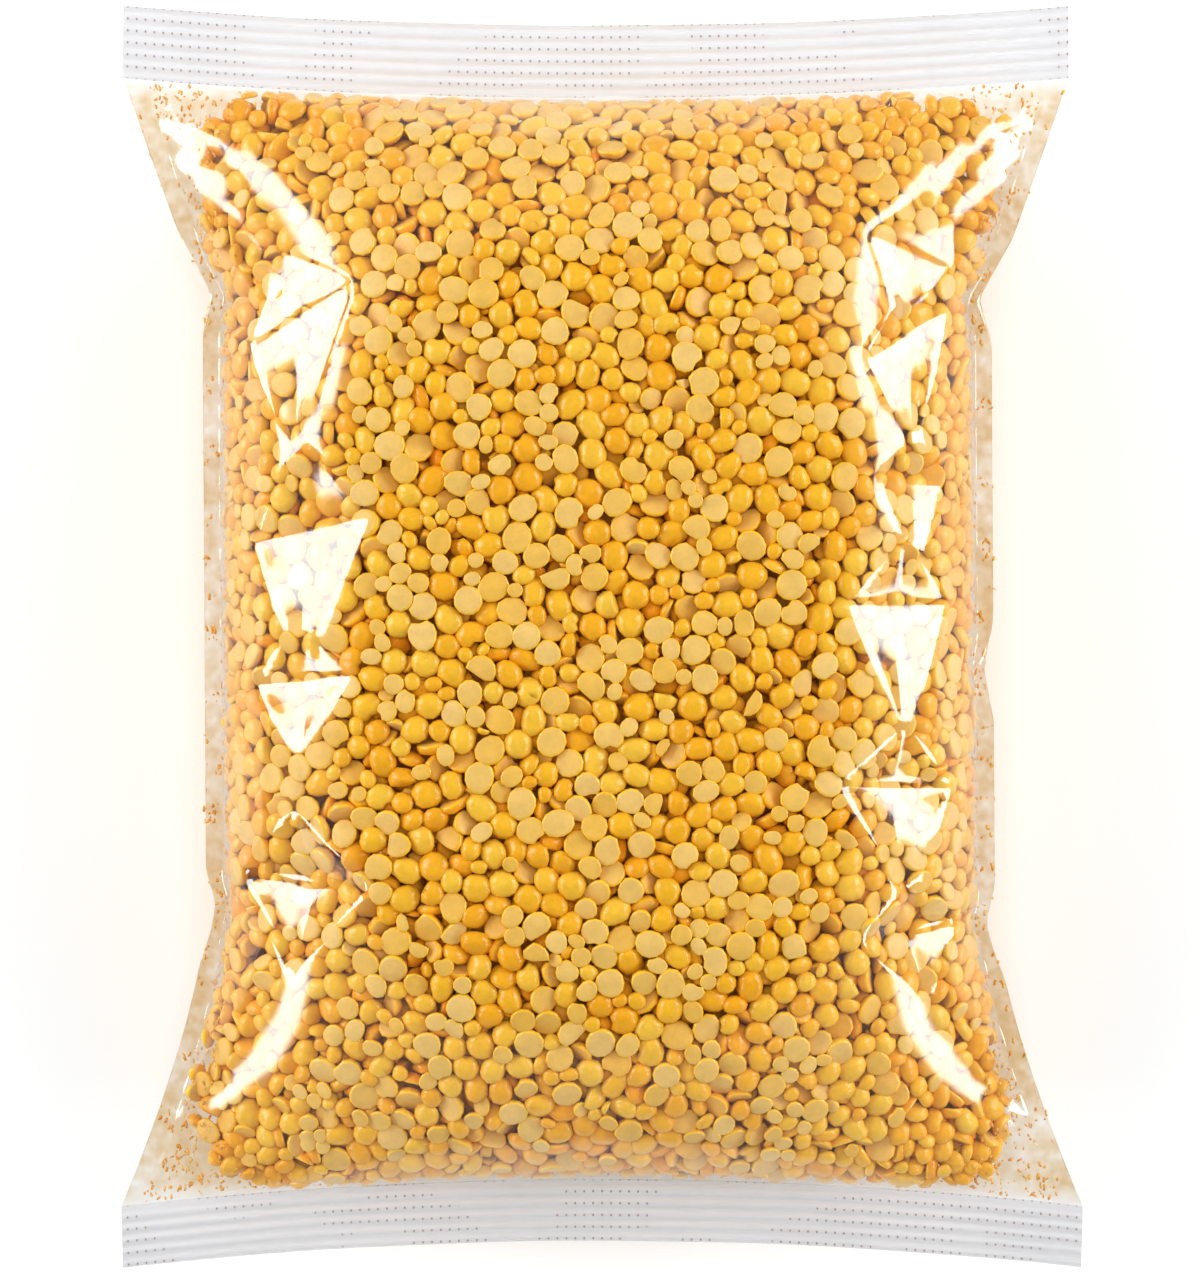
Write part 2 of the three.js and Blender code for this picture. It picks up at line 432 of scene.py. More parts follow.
def packHalves():
    # The halves settle outwards against the film: each step pushes them out, then parts the ones that touch,
    # and turns each a little so that it lies flat to what presses on it.
    rng = np.random.default_rng(11)
    quads = tubeFaces(len(bodyGrid), around)
    tree = BVHTree.FromPolygons(bodyGrid.reshape(-1, 3).tolist(), quads.tolist())
    normals, area = outwardNormals(bodyGrid)
    weight = area.ravel() / area.sum()
    number = halves["count"]
    chosen = rng.choice(len(weight), number, p=weight)
    depth = rng.uniform(*halves["shell"], number)[:, None]
    outward = normals.reshape(-1, 3)[chosen]
    centres = bodyGrid.reshape(-1, 3)[chosen] - outward * depth
    centres = centres + rng.normal(0, halves["scatter"], (number, 3))
    radius = np.where(rng.random(number) < halves["smallShare"],
                      rng.uniform(*halves["smallRadius"], number), rng.uniform(*halves["radius"], number))
    flatOut = rng.random(number) < halves["flatShare"]
    facing = np.where(flatOut, halves["outwardShare"], -halves["outwardShare"])
    normal = unit(outward * facing[:, None] + rng.normal(0, halves["tumble"], (number, 3)))
    for step in range(halves["steps"]):
        if step % halves["pairSteps"] == 0:
            first, second = closePairs(centres, halves["pairReach"])
            wall, outward = nearestFilm(tree, centres)
        push = halves["press"] * clamped(halves["pressStart"] - step / halves["steps"] * halves["pressFade"])
        gap = np.sum((wall - centres) * outward, axis=1)
        cosine = np.sum(normal * outward, axis=1)
        need = radius * support(cosine) + halves["spare"]
        centres = centres + outward * np.minimum(push, gap - need)[:, None]
        touching = clamped((need + halves["contact"] - gap) / halves["contact"])
        turn = outward * (cosine * touching * halves["turn"])[:, None]
        between = centres[second] - centres[first]
        distance = np.maximum(np.linalg.norm(between, axis=1), 1e-6)
        direction = between / distance[:, None]
        firstCos = np.sum(normal[first] * direction, axis=1)
        secondCos = np.sum(normal[second] * direction, axis=1)
        room = radius[first] * support(firstCos) + radius[second] * support(-secondCos)
        overlap = np.maximum(halves["closeness"] * room - distance, 0)
        move = direction * (halves["part"] * overlap)[:, None]
        centres = centres + scatterSum(second, move, number) - scatterSum(first, move, number)
        twist = (halves["turn"] * overlap)[:, None] * direction
        turn = turn + scatterSum(first, twist * firstCos[:, None], number)
        turn = turn + scatterSum(second, twist * secondCos[:, None], number)
        normal = unit(normal + turn)
    wall, outward = nearestFilm(tree, centres)
    gap = np.sum((wall - centres) * outward, axis=1)
    need = radius * support(np.sum(normal * outward, axis=1)) + halves["clearance"]
    centres = centres - outward * np.maximum(need - gap, 0)[:, None]
    wall, outward = nearestFilm(tree, centres)
    gap = np.sum((wall - centres) * outward, axis=1)
    room = [sum((tree.ray_cast(centre, way)[3] or -100) for way in ((0, 0, 1), (0, 0, -1)))
            for centre in centres.tolist()]  # a ray that misses marks a centre outside the film
    cosine = np.sum(normal * outward, axis=1)
    height = radius * (support(cosine) + support(-cosine))
    fits = (gap > need - halves["slack"]) & (gap < halves["keepDepth"])
    fits = fits & (np.array(room) > height + halves["edgeRoom"])
    print("mean overlap", overlap.mean(), "kept", fits.sum(), "of", number)
    return centres[fits], normal[fits], radius[fits], outward[fits], gap[fits], rng


def halfShape(number, rng, sides, rings, nicked, oblong):
    # Outline radius over the angle: 1 + small waves, cut by a chord where the half is nicked or broken.
    # Each half is also a little saddle-shaped, and its dome leans to one side.
    angle = 2 * math.pi * np.arange(sides) / sides
    waves = 0
    for count, size in ((2, oblong), (3, halves["waves"])):
        swing = rng.uniform(0, size, (number, 1))
        waves = waves + swing * np.cos(count * angle + rng.uniform(0, 2 * math.pi, (number, 1)))
    outline = 1 + waves
    notched = (rng.random((number, 1)) < halves["notchShare"]) & (np.arange(sides) == 0)
    outline = outline - notched * rng.uniform(*halves["notchDepth"], (number, 1))
    if nicked:
        chord = rng.uniform(*halves["breakAt"], (number, 1))
        chord = chord / np.maximum(np.cos(angle - rng.uniform(0, 2 * math.pi, (number, 1))), 1e-3)
        outline = np.minimum(outline, chord + 0.05)
    thick = rng.uniform(*halves["thickness"], (number, 1, 1))
    ring = rings[None, :, None, :]
    x = outline[:, None, :] * np.cos(angle) * ring[..., 0]
    y = outline[:, None, :] * np.sin(angle) * ring[..., 0]
    saddle = rng.normal(0, halves["saddle"], (number, 1, 1)) * (x ** 2 - y ** 2)
    domeSide = clamped(0.3 - ring[..., 1])
    lean = rng.normal(0, halves["lean"], (number, 1, 1)) * domeSide
    z = (0 * x + ring[..., 1]) * thick + saddle
    x = x + lean + rng.normal(0, halves["lumps"], x.shape) * domeSide * 2
    y = y + rng.normal(0, halves["lumps"], x.shape) * domeSide * 2
    dimple = np.abs(rng.normal(0, halves["dimple"], (number, 1)))
    flat = 0 * x + ring[..., 2]
    rimPoints = np.stack([x, y, z, flat], axis=-1).reshape(number, -1, 4)
    poles = np.zeros((number, 2, 4))
    poles[:, 0, 2] = flatCentre * thick[:, 0, 0]
    poles[:, 0, 3] = 1.0
    poles[:, 1, 2] = domeCentre * thick[:, 0, 0] + dimple[:, 0]
    return np.concatenate([poles, rimPoints], axis=1)


def halfFaces(sides, ringCount):
    # Vertex 0 is the flat face's centre, 1 the dome's, then the rings from the flat face to the dome.
    spot = np.arange(sides)
    nextSpot = (spot + 1) % sides
    quads = [np.stack([2 + k * sides + spot, 2 + (k + 1) * sides + spot,
                       2 + (k + 1) * sides + nextSpot, 2 + k * sides + nextSpot], axis=-1)
             for k in range(ringCount - 1)]
    last = 2 + (ringCount - 1) * sides
    fans = [np.stack([0 * spot, 2 + spot, 2 + nextSpot], axis=-1),
            np.stack([0 * spot + 1, last + nextSpot, last + spot], axis=-1)]
    return np.concatenate(quads), np.concatenate(fans)


def placeHalves(name, chosen):
    # One piece of all the chosen halves, each turned so that its flat face looks along its normal.
    number = int(chosen.sum())
    deep = name.startswith("deep")
    sides, rings = (halves["deepSides"], deepProfile) if deep else (halves["sides"], profile)
    oblong = halves["flatOblong"] if name == "flatHalves" else halves["oblong"]
    shape = halfShape(number, heapRng, sides, rings, name == "brokenHalves", oblong)
    normal = heapNormal[chosen]
    sideways = unit(np.cross(normal, heapRng.normal(0, 1, (number, 3))))
    third = np.cross(normal, sideways)
    size = heapRadius[chosen][:, None, None]
    local = shape[..., :3] * size
    points = heapCentre[chosen][:, None, :] + local[..., :1] * sideways[:, None, :]
    points = points + local[..., 1:2] * third[:, None, :] + local[..., 2:3] * normal[:, None, :]
    each = shape.shape[1]
    quads, fans = halfFaces(sides, len(rings))
    start = (np.arange(number) * each)[:, None, None]
    quads, fans = (quads + start).reshape(-1, 4), (fans + start).reshape(-1, 3)
    piece = meshPiece(name, points.reshape(-1, 3), quads, fans)
    pointValues(piece, "flatFace", shape[..., 3])
    pointValues(piece, "tint", np.repeat(heapRng.random(number), each))
    # The deeper a half sits, the more painted shade and painted warm glow its colour gets.
    sunkShadeAndGlow = clamped((heapGap[chosen] - halves["sunkFrom"]) / halves["sunkSpan"])
    pointValues(piece, "sunkShadeAndGlow", np.repeat(sunkShadeAndGlow, each))
    print(name, number, "halves")
    return piece


heapCentre, heapNormal, heapRadius, heapOutward, heapGap, heapRng = packHalves()
facingOut = np.sum(heapNormal * heapOutward, axis=1)
broken = heapRng.random(len(heapGap)) < halves["brokenShare"]
outer = (heapGap < halves["outerDepth"]) & ~broken
inner = (heapGap >= halves["outerDepth"]) & ~broken
small = heapRadius < halves["smallBelow"]
faceOut = facingOut > halves["faceOn"]
domeOut = facingOut < -halves["faceOn"]
deeper = heapGap >= halves["deeperDepth"]
deepest = heapGap >= halves["deepestDepth"]
kinds = {
    "flatHalves": outer & ~small & faceOut,
    "smallFlatHalves": outer & small & faceOut,
    "domedHalves": outer & ~small & domeOut,
    "smallDomedHalves": outer & small & domeOut,
    "tiltedHalves": outer & ~faceOut & ~domeOut,
    "deepHalves": inner & ~deeper,
    "deeperHalves": inner & deeper & ~deepest,
    "deepestHalves": inner & deepest,
    "brokenHalves": broken,
}
halfPieces = [placeHalves(name, chosen) for name, chosen in kinds.items()]

core = {
    "around": 150,
    "rows": 110,
    "widthShare": 0.875,  # of the pack's own width, length and height
    "lengthShare": 0.935,
    "heightShare": 0.77,
    "bump": 0.7,
    "bumpRate": (1.15, 1.1),
    "bumpHold": 8.0,
    "earWidth": 14.0,
}


def corePiece():
    # The body made smaller, with lentil-sized swells: a product of sines over the surface.
    angle = 2 * math.pi * (np.arange(core["around"]) + 0.5) / core["around"]
    along = np.linspace(-1, 1, core["rows"])
    angles, alongs = np.meshgrid(angle, along)
    surface = dentedBody(angles, alongs)
    middle = np.array([0, 0, pack["seamHeight"]])
    surface = middle + (surface - middle) * [core["widthShare"], core["lengthShare"], core["heightShare"]]
    limit = core["widthShare"] * pack["bodyHalfWidth"] - core["earWidth"] * np.abs(alongs) ** 3
    surface[..., 0] = np.clip(surface[..., 0], -limit, limit)
    swell = np.sin(surface[..., 0] * core["bumpRate"][0]) * np.sin(surface[..., 1] * core["bumpRate"][1])
    hold = clamped((1 - np.abs(alongs)) * core["bumpHold"])
    surface[..., 2] += core["bump"] * swell * np.sign(np.sin(angles)) * hold
    return meshPiece("lentilCore", surface.reshape(-1, 3), tubeFaces(core["rows"], core["around"]))


coreBody = corePiece()
print("core made")

crumbs = {
    "count": 1900,
    "size": (0.12, 0.38),  # half width
    "stretch": (1.0, 2.6),
    "thickness": 0.35,
    "margin": 9.0,  # they cling where the pack is thinner than this
    "least": 0.5,
    "farthest": 0.995,
    "edgeShare": 2.0,  # and more so down its sides
    "edgeWidth": 5.0,
    "scatter": 0.25,
    "depth": 0.3,
    "lean": 0.45,
    "outline": (0.7, 1.2),
    "sides": 5,
}


def crumbPiece():
    # Flakes of skin and broken lentil on the inside of the film: flat bipyramids with uneven outlines.
    rng = np.random.default_rng(23)
    normals, area = outwardNormals(bodyGrid)
    flipped = bodyGrid[:, ::-1]  # the point of the other film at the same x
    thin = np.abs(bodyGrid[..., 2] - flipped[..., 2])
    share = np.abs(np.linspace(-1, 1, len(bodyGrid)))[:, None]
    inside = (share < crumbs["farthest"]) & (thin > crumbs["least"])
    atEdge = np.abs(bodyGrid[..., 0]) > pack["bodyHalfWidth"] - crumbs["edgeWidth"]
    nearEdge = 1 + crumbs["edgeShare"] * atEdge
    weight = (area * (thin < crumbs["margin"]) * inside * nearEdge).ravel()
    number = crumbs["count"]
    chosen = rng.choice(weight.size, number, p=weight / weight.sum())
    outward = normals.reshape(-1, 3)[chosen]
    aside = rng.normal(0, crumbs["scatter"], (number, 3)) * [1, 1, 0]
    centre = bodyGrid.reshape(-1, 3)[chosen] + aside - outward * crumbs["depth"]
    down = unit(np.array([0, 1, 0]) + rng.normal(0, crumbs["lean"], (number, 3)))
    across = unit(np.cross(down, outward))
    down = np.cross(outward, across)
    half = rng.uniform(*crumbs["size"], (number, 1))
    stretch = rng.uniform(*crumbs["stretch"], (number, 1))
    angle = 2 * math.pi * np.arange(crumbs["sides"]) / crumbs["sides"]
    outline = rng.uniform(*crumbs["outline"], (number, crumbs["sides"]))
    rim = centre[:, None] + across[:, None] * (half * np.cos(angle) * outline)[..., None]
    rim = rim + down[:, None] * (half * stretch * np.sin(angle) * outline)[..., None]
    tips = outward * half * crumbs["thickness"]
    points = np.concatenate([(centre + tips)[:, None], (centre - tips)[:, None], rim], axis=1)
    spot = np.arange(crumbs["sides"])
    nextSpot = (spot + 1) % crumbs["sides"]
    fans = np.concatenate([np.stack([0 * spot, 2 + spot, 2 + nextSpot], axis=-1),
                           np.stack([0 * spot + 1, 2 + nextSpot, 2 + spot], axis=-1)])
    start = (np.arange(number) * (2 + crumbs["sides"]))[:, None, None]
    noQuads = np.zeros((0, 4), int)
    piece = meshPiece("crumbs", points.reshape(-1, 3), noQuads, (fans + start).reshape(-1, 3))
    print("crumbs", number)
    return piece


crumbHeap = crumbPiece()


def newMaterial(name):
    made = bpy.data.materials.new(name)
    made.use_nodes = True
    made.node_tree.nodes.clear()
    return made, made.node_tree.nodes, made.node_tree.links


def rampNode(nodes, stops):
    ramp = nodes.new("ShaderNodeValToRGB")
    first, last = ramp.color_ramp.elements[0], ramp.color_ramp.elements[1]
    first.position, first.color = stops[0][0], (*stops[0][1], 1)
    last.position, last.color = stops[-1][0], (*stops[-1][1], 1)
    for position, colour in stops[1:-1]:
        ramp.color_ramp.elements.new(position).color = (*colour, 1)
    return ramp


def attributeNode(nodes, name):
    node = nodes.new("ShaderNodeAttribute")
    node.attribute_name = name
    return node


def noiseNode(nodes, links, scale, detail=3.0):
    where = nodes.new("ShaderNodeTexCoord")
    noise = nodes.new("ShaderNodeTexNoise")
    noise.inputs["Scale"].default_value = scale
    noise.inputs["Detail"].default_value = detail
    links.new(where.outputs["Object"], noise.inputs["Vector"])
    return noise


def mathNode(nodes, links, operation, a, b):
    node = nodes.new("ShaderNodeMath")
    node.operation = operation
    for socket, value in zip(node.inputs, (a, b)):
        if isinstance(value, (int, float)):
            socket.default_value = value
        else:
            links.new(value, socket)
    return node.outputs[0]


def mixColour(nodes, links, factor, a, b, way="MIX"):
    node = nodes.new("ShaderNodeMix")
    node.data_type = "RGBA"
    node.blend_type = way
    for socket, value in ((node.inputs["Factor"], factor), (node.inputs["A"], a), (node.inputs["B"], b)):
        if isinstance(value, (int, float)):
            socket.default_value = value
        elif isinstance(value, tuple):
            socket.default_value = (*value, 1)
        else:
            links.new(value, socket)
    return node.outputs["Result"]


# Ramps are (place, colour) stops
lentilLooks = {
    "dome": ((0.0, (0.86, 0.38, 0.006)), (0.45, (0.88, 0.45, 0.012)), (1.0, (0.88, 0.52, 0.04))),
    "face": ((0.0, (0.79, 0.45, 0.06)), (0.5, (0.80, 0.49, 0.105)), (1.0, (0.82, 0.53, 0.155))),
    # a lighter, yellower band round each flat face: partly the rim's own colour, partly a painted highlight
    "rim": (0.96, 0.62, 0.03),
    # what deeper halves are multiplied by: painted shade with a painted warm glow
    "sunkShadeAndGlow": (1.08, 0.78, 0.2),
    "roughness": ((0.0, (0.27, 0.27, 0.27)), (0.5, (0.18, 0.18, 0.18)), (1.0, (0.5, 0.5, 0.5))),
    "grainScale": 1400,
    "grainShare": 0.35,
    "blotchScale": 380,
    "blotchShare": 0.65,
    "shade": (0.88, 1.06),
    # the core's colours, darkening to brown at the cell edges: painted shade in the gaps between deeper
    # lentils
    "core": ((0.0, (0.86, 0.38, 0.012)), (0.5, (0.74, 0.28, 0.006)), (0.8, (0.40, 0.12, 0.003))),
    "crumbs": ((0.35, (0.80, 0.34, 0.03)), (0.5, (0.92, 0.46, 0.06)), (0.65, (0.95, 0.58, 0.14))),
}


def lentilMaterial():
    # Domed skin in ochre tints, paler flat faces with a light rim that is partly their yellower edge and
    # partly a painted highlight, fine grain and faint blotches, and painted shade with a painted warm glow on
    # the halves that sit deeper.
    made, nodes, links = newMaterial("splitLentil")
    flat = attributeNode(nodes, "flatFace").outputs["Fac"]
    tint = attributeNode(nodes, "tint").outputs["Fac"]
    sunkShadeAndGlow = attributeNode(nodes, "sunkShadeAndGlow").outputs["Fac"]
    dome = rampNode(nodes, lentilLooks["dome"])
    links.new(tint, dome.inputs[0])
    face = rampNode(nodes, lentilLooks["face"])
    links.new(tint, face.inputs[0])
    onFace = nodes.new("ShaderNodeMapRange")
    onFace.inputs["From Min"].default_value = 0.45
    onFace.inputs["From Max"].default_value = 0.9
    links.new(flat, onFace.inputs["Value"])
    colour = mixColour(nodes, links, onFace.outputs[0], dome.outputs[0], face.outputs[0])
    # The rim band is partly the rim's yellower colour and partly a painted highlight.
    rim = rampNode(nodes, ((0.10, (0, 0, 0)), (0.45, (1, 1, 1)), (0.75, (0, 0, 0))))
    links.new(flat, rim.inputs[0])
    colour = mixColour(nodes, links, rim.outputs[0], colour, lentilLooks["rim"])
    # Deeper halves are multiplied towards a darker, redder tint: painted shade and painted warm glow.
    shaded = mixColour(nodes, links, 1.0, colour, lentilLooks["sunkShadeAndGlow"], "MULTIPLY")
    colour = mixColour(nodes, links, sunkShadeAndGlow, colour, shaded)
    grain = noiseNode(nodes, links, lentilLooks["grainScale"], 1.0)
    blotch = noiseNode(nodes, links, lentilLooks["blotchScale"], 1.0)
    shade = nodes.new("ShaderNodeMapRange")
    shade.inputs["From Min"].default_value = 0.3
    shade.inputs["From Max"].default_value = 0.7
    shade.inputs["To Min"].default_value = lentilLooks["shade"][0]
    shade.inputs["To Max"].default_value = lentilLooks["shade"][1]
    fine = mathNode(nodes, links, "MULTIPLY", grain.outputs["Fac"], lentilLooks["grainShare"])
    broad = mathNode(nodes, links, "MULTIPLY", blotch.outputs["Fac"], lentilLooks["blotchShare"])
    links.new(mathNode(nodes, links, "ADD", fine, broad), shade.inputs["Value"])
    gray = nodes.new("ShaderNodeCombineColor")
    for socket in gray.inputs[:3]:
        links.new(shade.outputs[0], socket)
    colour = mixColour(nodes, links, 1.0, colour, gray.outputs[0], "MULTIPLY")
    bump = nodes.new("ShaderNodeBump")
    bump.inputs["Strength"].default_value = 0.25
    bump.inputs["Distance"].default_value = 0.0001
    links.new(grain.outputs["Fac"], bump.inputs["Height"])
    rough = rampNode(nodes, lentilLooks["roughness"])
    links.new(flat, rough.inputs[0])
    shader = nodes.new("ShaderNodeBsdfPrincipled")
    links.new(colour, shader.inputs["Base Color"])
    links.new(rough.outputs[0], shader.inputs["Roughness"])
    links.new(bump.outputs[0], shader.inputs["Normal"])
    out = nodes.new("ShaderNodeOutputMaterial")
    links.new(shader.outputs[0], out.inputs["Surface"])
    return made


def coreMaterial():
    # Deeper lentils with painted shade between them: rounded cells, lighter in the middle and painted brown at
    # their edges as the shade of the gaps.
    made, nodes, links = newMaterial("deepLentilsWithPaintedShade")
    where = nodes.new("ShaderNodeTexCoord")
    cells = nodes.new("ShaderNodeTexVoronoi")
    cells.inputs["Scale"].default_value = 190
    links.new(where.outputs["Object"], cells.inputs["Vector"])
    # Brown towards the cell edges: painted shade of the gaps.
    ramp = rampNode(nodes, lentilLooks["core"])
    links.new(cells.outputs["Distance"], ramp.inputs[0])
    bump = nodes.new("ShaderNodeBump")
    bump.inputs["Strength"].default_value = 0.8
    bump.inputs["Distance"].default_value = 0.001
    bump.invert = True
    links.new(cells.outputs["Distance"], bump.inputs["Height"])
    shader = nodes.new("ShaderNodeBsdfPrincipled")
    shader.inputs["Roughness"].default_value = 0.6
    links.new(ramp.outputs[0], shader.inputs["Base Color"])
    links.new(bump.outputs[0], shader.inputs["Normal"])
    out = nodes.new("ShaderNodeOutputMaterial")
    links.new(shader.outputs[0], out.inputs["Surface"])
    return made


def crumbMaterial():
    # Orange flakes, some darker than others.
    made, nodes, links = newMaterial("lentilCrumbs")
    ramp = rampNode(nodes, lentilLooks["crumbs"])
    links.new(noiseNode(nodes, links, 260, 1.0).outputs["Fac"], ramp.inputs[0])
    shader = nodes.new("ShaderNodeBsdfPrincipled")
    shader.inputs["Roughness"].default_value = 0.7
    links.new(ramp.outputs[0], shader.inputs["Base Color"])
    out = nodes.new("ShaderNodeOutputMaterial")
    links.new(shader.outputs[0], out.inputs["Surface"])
    return made


filmLooks = {
    "clear": (0.985, 0.985, 0.985),
    "edgeOn": (0.74, 0.72, 0.70),
    "edgeBlend": 0.25,
    "dusty": (0.88, 0.76, 0.57),
    "cloudScale": 60,
    "cloudDust": 1.2,
    "streakScale": 420,
    "streakDust": 1.4,
    "dustLoss": 0.75,
    "milky": (0.69, 0.685, 0.71),
    "ribHaze": 0.10,
    "cloudHaze": 0.25,
    "dots": (0.30, 0.22, 0.18),
    "dotHaze": 0.75,
    "dotsFrom": 0.47,  # the dots show where the cloud noise is above this
}


def filmMaterial():
    # Clear film: see-through, greyer where it is seen edge-on, tinted by dust where the pack is thin, and with
    # a Fresnel gloss on its outside. Past the seams it is welded: milky, with a wave of haze on each rib and a
    # row of dots along it.
    made, nodes, links = newMaterial("clearFilm")

    def calc(operation, a, b):
        return mathNode(nodes, links, operation, a, b)

    past = attributeNode(nodes, "pastSeam").outputs["Fac"]
    welded = calc("GREATER_THAN", past, 0.01)
    ribWave = calc("COSINE", calc("MULTIPLY", past, 2 * math.pi / pack["ribPitch"]), 0.0)
    cloud = noiseNode(nodes, links, filmLooks["cloudScale"], 0.0).outputs["Fac"]
    haze = calc("ADD", calc("MULTIPLY", ribWave, filmLooks["ribHaze"]),
                calc("MULTIPLY", cloud, filmLooks["cloudHaze"]))
    haze = calc("MULTIPLY", welded, calc("ADD", haze, film["weldHaze"]))
    through = nodes.new("ShaderNodeBsdfTransparent")
    edgeOn = nodes.new("ShaderNodeLayerWeight")
    edgeOn.inputs["Blend"].default_value = filmLooks["edgeBlend"]
    streak = noiseNode(nodes, links, filmLooks["streakScale"], 1.0).outputs["Fac"]
    patchy = calc("ADD", calc("MULTIPLY", cloud, filmLooks["cloudDust"]),
                  calc("MULTIPLY", streak, filmLooks["streakDust"]))
    patchy = calc("SUBTRACT", patchy, filmLooks["dustLoss"])
    dusty = calc("MULTIPLY", attributeNode(nodes, "dust").outputs["Fac"], patchy)
    clear = mixColour(nodes, links, dusty, filmLooks["clear"], filmLooks["dusty"])
    tint = mixColour(nodes, links, edgeOn.outputs["Facing"], clear, filmLooks["edgeOn"])
    links.new(tint, through.inputs["Color"])
    milky = nodes.new("ShaderNodeBsdfDiffuse")
    where = nodes.new("ShaderNodeTexCoord")
    place = nodes.new("ShaderNodeSeparateXYZ")
    links.new(where.outputs["Object"], place.inputs[0])
    dotWave = calc("COSINE", calc("MULTIPLY", place.outputs["X"], 2000 * math.pi / film["dotPitch"]), 0.0)
    dots = calc("GREATER_THAN", calc("ADD", dotWave, ribWave), 2 - film["dotSize"])
    dots = calc("MULTIPLY", dots, calc("GREATER_THAN", cloud, filmLooks["dotsFrom"]))
    dots = calc("MULTIPLY", dots, welded)
    links.new(mixColour(nodes, links, dots, filmLooks["milky"], filmLooks["dots"]), milky.inputs["Color"])
    haze = calc("MAXIMUM", haze, calc("MULTIPLY", dots, filmLooks["dotHaze"]))
    body = nodes.new("ShaderNodeMixShader")
    links.new(haze, body.inputs[0])
    links.new(through.outputs[0], body.inputs[1])
    links.new(milky.outputs[0], body.inputs[2])
    gloss = nodes.new("ShaderNodeBsdfGlossy")
    gloss.inputs["Roughness"].default_value = film["roughness"]
    mirror = nodes.new("ShaderNodeFresnel")
    mirror.inputs["IOR"].default_value = film["mirrorIndex"]
    facts = nodes.new("ShaderNodeNewGeometry")
    share = calc("MULTIPLY", mirror.outputs[0], calc("SUBTRACT", 1.0, facts.outputs["Backfacing"]))
    both = nodes.new("ShaderNodeMixShader")
    links.new(share, both.inputs[0])
    links.new(body.outputs[0], both.inputs[1])
    links.new(gloss.outputs[0], both.inputs[2])
    out = nodes.new("ShaderNodeOutputMaterial")
    links.new(both.outputs[0], out.inputs["Surface"])
    return made


lentilSkin = lentilMaterial()
for piece in halfPieces:
    piece.data.materials.append(lentilSkin)
coreBody.data.materials.append(coreMaterial())
crumbHeap.data.materials.append(crumbMaterial())
filmPiece.data.materials.append(filmMaterial())
# Clear film changes next to nothing in the light between the lentils, so those rays skip it.
filmPiece.visible_shadow = False
filmPiece.visible_diffuse = False
filmPiece.visible_glossy = False
for piece in [filmPiece, coreBody, crumbHeap, *halfPieces]:
    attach(piece, "root")
    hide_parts("lentil_pack")
print("materials set")

stage = {
    "floorSize": 6.0,
    "floorDrop": 0.0004,
    "floorColour": (0.945, 0.975, 0.99, 1),
    "worldStrength": 0.42,
    "zenithStrength": 0.03,  # the dark part of the sky right above, which the flat film mirrors
    "zenithAngle": (34.0, 48.0),
    "stripDistance": 1.6,
    "stripRadiance": 10.4,
    "overheadPlace": (0, 0.2, 2.4),
    "overheadSize": 1.6,
    "overheadRadiance": 3.5,
    "cameraShift": -0.0004,
    "cameraHeight": 1.8,
    "frameHeight": 0.2422,  # what the view takes in at the height of the seams
    "sensor": 36.0,
}
# The strip lamps, one of each on either side: degrees off the vertical, start and stop in y, width
strips = {
    "sideStrip": (62.0, 0.08, 0.42, 0.66),
    "patchStrip": (78.0, 0.55, 1.15, 0.44),
    "ridgeStrip": (57.0, 0.68, 1.05, 0.24),
    "cornerStrip": (50.0, 0.42, 0.70, 0.24),
    "lowerStrip": (67.0, -0.85, -0.35, 0.24),
}


def floorPiece():
    half = stage["floorSize"] / 2
    corners = [(x * half, y * half, -stage["floorDrop"]) for x, y in ((-1, -1), (1, -1), (1, 1), (-1, 1))]
    mesh = bpy.data.meshes.new("floor")
    mesh.from_pydata(corners, [], [(0, 1, 2, 3)])
    floor = bpy.data.objects.new("floor", mesh)
    bpy.context.scene.collection.objects.link(floor)
    made, nodes, links = newMaterial("paleFloor")
    shader = nodes.new("ShaderNodeBsdfPrincipled")
    shader.inputs["Base Color"].default_value = stage["floorColour"]
    shader.inputs["Roughness"].default_value = 0.9
    shader.inputs["Specular IOR Level"].default_value = 0.1
    out = nodes.new("ShaderNodeOutputMaterial")
    links.new(shader.outputs[0], out.inputs["Surface"])
    mesh.materials.append(made)


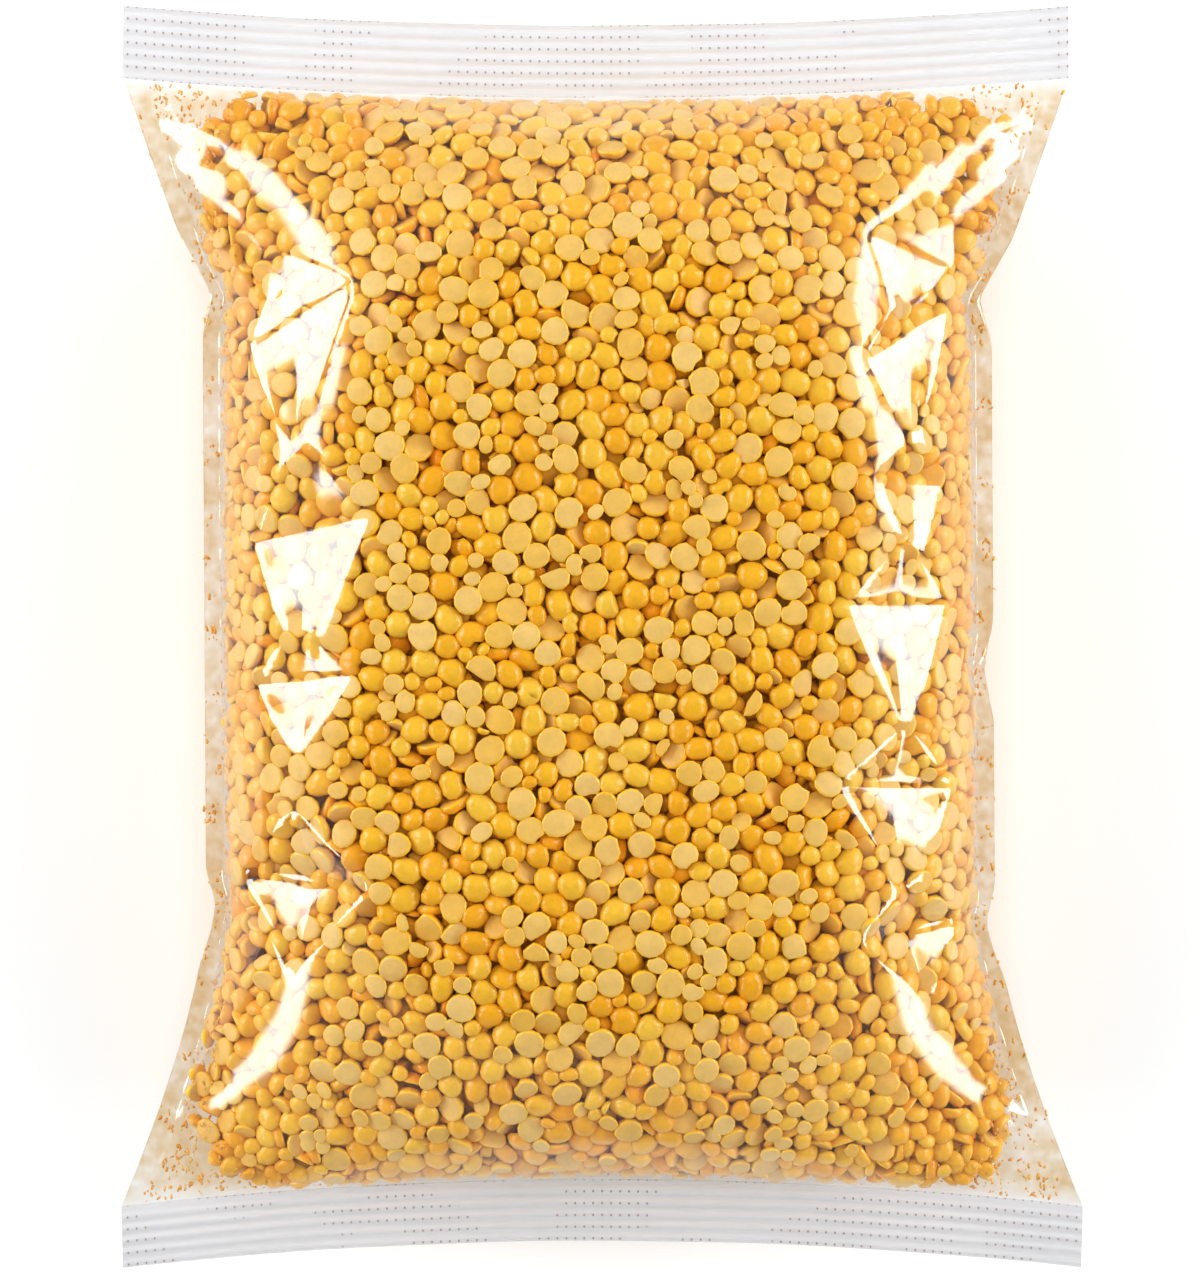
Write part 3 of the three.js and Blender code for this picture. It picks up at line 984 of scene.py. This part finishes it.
def areaLight(name, place, target, width, length, radiance):
    # Power of an area light from the radiance wanted on its face: pi * area * radiance.
    light = bpy.data.lights.new(name, "AREA")
    light.shape = "RECTANGLE"
    light.size, light.size_y = width, length
    light.energy = math.pi * width * length * radiance
    made = bpy.data.objects.new(name, light)
    bpy.context.scene.collection.objects.link(made)
    place, target = np.array(place), np.array(target)
    back = place - target
    back = back / np.linalg.norm(back)
    side = np.cross((0, 1, 0), back)
    side = side / np.linalg.norm(side)
    up = np.cross(back, side)
    matrix = np.eye(4)
    matrix[:3, 0], matrix[:3, 1], matrix[:3, 2], matrix[:3, 3] = side, up, back, place
    made.matrix_world = Matrix(matrix.tolist())
    return made


floorPiece()
for name, (tilt, start, stop, width) in strips.items():
    for side, hand in ((-1, "Left"), (1, "Right")):
        x = side * stage["stripDistance"] * math.sin(math.radians(tilt))
        z = stage["stripDistance"] * math.cos(math.radians(tilt))
        middle = (start + stop) / 2
        areaLight(name + hand, (x, middle, z), (0, middle, 0), width, stop - start, stage["stripRadiance"])
overhead = areaLight("overhead", stage["overheadPlace"], (0, 0, 0), stage["overheadSize"],
                     stage["overheadSize"], stage["overheadRadiance"])
overhead.visible_glossy = False  # the flat top of the film mirrors none of it


def skyWorld():
    # A pale sky that is dark right above: strength over the height of the direction looked in.
    world = bpy.data.worlds.new("studio")
    world.use_nodes = True
    nodes, links = world.node_tree.nodes, world.node_tree.links
    where = nodes.new("ShaderNodeTexCoord")
    way = nodes.new("ShaderNodeSeparateXYZ")
    links.new(where.outputs["Generated"], way.inputs[0])
    strength = nodes.new("ShaderNodeMapRange")
    strength.interpolation_type = "SMOOTHSTEP"
    strength.inputs["From Min"].default_value = math.cos(math.radians(stage["zenithAngle"][1]))
    strength.inputs["From Max"].default_value = math.cos(math.radians(stage["zenithAngle"][0]))
    strength.inputs["To Min"].default_value = stage["worldStrength"]
    strength.inputs["To Max"].default_value = stage["zenithStrength"]
    links.new(way.outputs["Z"], strength.inputs["Value"])
    links.new(strength.outputs[0], nodes["Background"].inputs["Strength"])
    nodes["Background"].inputs["Color"].default_value = (1, 1, 1, 1)
    return world


world = skyWorld()
bpy.context.scene.world = world
bpy.context.scene.view_settings.view_transform = "Standard"

camera = bpy.data.cameras.new("camera")
distance = stage["cameraHeight"] - pack["seamHeight"] * 0.001
camera.sensor_width = stage["sensor"]
camera.lens = stage["sensor"] * distance / stage["frameHeight"]
camera.clip_end = 20
cameraObject = bpy.data.objects.new("camera", camera)
cameraObject.location = (stage["cameraShift"], stage["cameraShift"], stage["cameraHeight"])
bpy.context.scene.collection.objects.link(cameraObject)
bpy.context.scene.camera = cameraObject
print("stage set")
